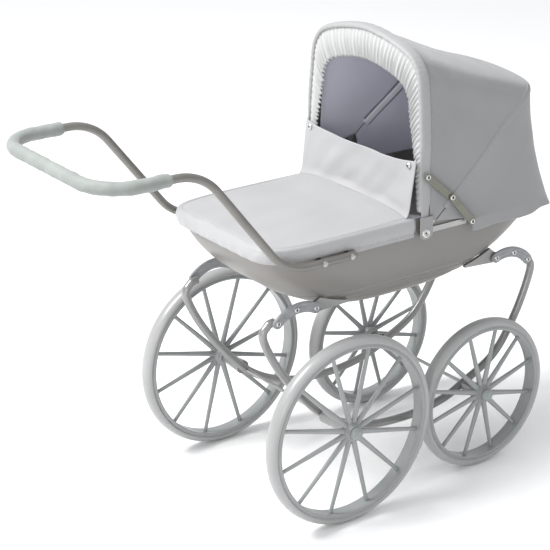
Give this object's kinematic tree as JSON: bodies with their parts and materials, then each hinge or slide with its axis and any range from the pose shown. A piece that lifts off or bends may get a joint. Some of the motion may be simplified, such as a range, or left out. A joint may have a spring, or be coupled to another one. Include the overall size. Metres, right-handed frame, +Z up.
{
  "type": "doll pram",
  "caption": "Coach style doll pram: boat-shaped tub slung by straps from curved side bows, spoked wheels, U handle, folding hood with side struts and a fabric apron with a wind flap.",
  "frame": {"origin": "on the floor, under the middle of the pram's overall length and width", "axes": "+X runs from the handle towards the hood end, +Y to the left, +Z up"},
  "size_m": [0.7834, 0.3576, 0.6583],
  "materials": {
    "chassis_paint": "grey satin paint",
    "axle_steel": "plain",
    "wheel_plastic": "silver grey satin",
    "tyre_plastic": "grey smooth",
    "cap_plastic": "grey",
    "tub_plastic": "warm grey satin moulding",
    "pad_fabric": "plain",
    "handle_paint": "warm grey satin paint",
    "grip_foam": "grey green foam",
    "bolt_steel": "plain",
    "bow_steel": "plain",
    "hood_fabric": "silver grey twill",
    "ruffle_fabric": "silver grey gathered",
    "strut_steel": "olive grey",
    "apron_fabric": "silver grey twill",
    "snap_metal": "plain",
    "strap_plastic": "dark grey grained"
  },
  "bodies": {
    "chassis": {"rear_axle": "axle_steel", "front_axle": "axle_steel", "rear_axle_boss_left": "chassis_paint", "rear_strap_left": "strap_plastic", "rear_hanger_left": "chassis_paint", "rear_handle_bolt_left": "bolt_steel", "rear_axle_boss_right": "chassis_paint", "rear_strap_right": "strap_plastic", "rear_hanger_right": "chassis_paint", "rear_handle_bolt_right": "bolt_steel", "front_axle_boss_left": "chassis_paint", "front_strap_left": "strap_plastic", "front_hanger_left": "chassis_paint", "front_handle_bolt_left": "bolt_steel", "front_axle_boss_right": "chassis_paint", "front_strap_right": "strap_plastic", "front_hanger_right": "chassis_paint", "front_handle_bolt_right": "bolt_steel", "side_bow_left": "chassis_paint", "hood_hinge_rivet_left": "snap_metal", "strut_rim_rivet_left": "snap_metal", "side_bow_right": "chassis_paint", "hood_hinge_rivet_right": "snap_metal", "strut_rim_rivet_right": "snap_metal", "tub": "tub_plastic", "mattress": "pad_fabric", "handle_tube": "handle_paint", "handle_grip": "grip_foam", "hood_base_bow": "bow_steel", "apron_cover": "apron_fabric"},
    "middle_bow": {"hood_middle_bow": "bow_steel", "hood_rear_panel": "hood_fabric"},
    "front_bow": {"hood_front_bow": "bow_steel", "hood_front_panel": "hood_fabric", "hood_ruffle": "ruffle_fabric", "strut_bow_rivet_left": "snap_metal", "strut_bow_rivet_right": "snap_metal"},
    "flap": {"apron_flap": "apron_fabric", "flap_snap_left": "snap_metal", "flap_snap_right": "snap_metal"},
    "rear_left_wheel": {"rear_wheel_left": "wheel_plastic", "rear_tyre_left": "tyre_plastic", "rear_hub_cap_left": "cap_plastic"},
    "rear_right_wheel": {"rear_wheel_right": "wheel_plastic", "rear_tyre_right": "tyre_plastic", "rear_hub_cap_right": "cap_plastic"},
    "front_left_wheel": {"front_wheel_left": "wheel_plastic", "front_tyre_left": "tyre_plastic", "front_hub_cap_left": "cap_plastic"},
    "front_right_wheel": {"front_wheel_right": "wheel_plastic", "front_tyre_right": "tyre_plastic", "front_hub_cap_right": "cap_plastic"},
    "strut_rear_left": {"strut_rear_link_left": "strut_steel"},
    "strut_front_left": {"strut_front_link_left": "strut_steel"},
    "strut_rear_right": {"strut_rear_link_right": "strut_steel"},
    "strut_front_right": {"strut_front_link_right": "strut_steel"}
  },
  "joints": [
    {"name": "rear_left_wheel_spin", "type": "hinge", "parent": "chassis", "child": "rear_left_wheel", "pos_m": [-0.01595, 0.158, 0.14], "axis": [0, 1, 0], "continuous": true},
    {"name": "rear_right_wheel_spin", "type": "hinge", "parent": "chassis", "child": "rear_right_wheel", "pos_m": [-0.01595, -0.158, 0.14], "axis": [0, 1, 0], "continuous": true},
    {"name": "front_left_wheel_spin", "type": "hinge", "parent": "chassis", "child": "front_left_wheel", "pos_m": [0.24905, 0.132, 0.116], "axis": [0, 1, 0], "continuous": true},
    {"name": "front_right_wheel_spin", "type": "hinge", "parent": "chassis", "child": "front_right_wheel", "pos_m": [0.24905, -0.132, 0.116], "axis": [0, 1, 0], "continuous": true},
    {"name": "hood_fold", "type": "hinge", "parent": "chassis", "child": "middle_bow", "pos_m": [0.13155, 0, 0.392], "axis": [0, 1, 0], "range_deg": [0, 26], "deforming": ["hood_rear_panel"]},
    {"name": "front_bow_fold", "type": "hinge", "parent": "middle_bow", "child": "front_bow", "pos_m": [0.13155, 0, 0.392], "axis": [0, 1, 0], "range_deg": [0, 30], "deforming": ["hood_front_panel"]},
    {"name": "strut_rear_left_turn", "type": "hinge", "parent": "chassis", "child": "strut_rear_left", "pos_m": [0.21455, 0.14, 0.3932], "axis": [0, 1, 0], "range_deg": [0, 89.29]},
    {"name": "strut_front_left_turn", "type": "hinge", "parent": "front_bow", "child": "strut_front_left", "pos_m": [0.13155, 0.138, 0.474], "axis": [0, 1, 0], "range_deg": [-90.93, 0]},
    {"name": "strut_rear_right_turn", "type": "hinge", "parent": "chassis", "child": "strut_rear_right", "pos_m": [0.21455, -0.14, 0.3932], "axis": [0, 1, 0], "range_deg": [0, 89.29]},
    {"name": "strut_front_right_turn", "type": "hinge", "parent": "front_bow", "child": "strut_front_right", "pos_m": [0.13155, -0.138, 0.474], "axis": [0, 1, 0], "range_deg": [-90.93, 0]},
    {"name": "flap_fold", "type": "hinge", "parent": "chassis", "child": "flap", "pos_m": [0.10755, 0, 0.4177], "axis": [0, 1, 0], "range_deg": [-95, 0]}
  ],
  "couplings": [
    {"joint": "front_bow_fold", "follows": "hood_fold", "ratio": 1.1539},
    {"joint": "strut_rear_left_turn", "follows": "hood_fold", "ratio": 3.4324},
    {"joint": "strut_front_left_turn", "follows": "hood_fold", "ratio": -3.4955},
    {"joint": "strut_rear_right_turn", "follows": "hood_fold", "ratio": 3.4324},
    {"joint": "strut_front_right_turn", "follows": "hood_fold", "ratio": -3.4955}
  ]
}
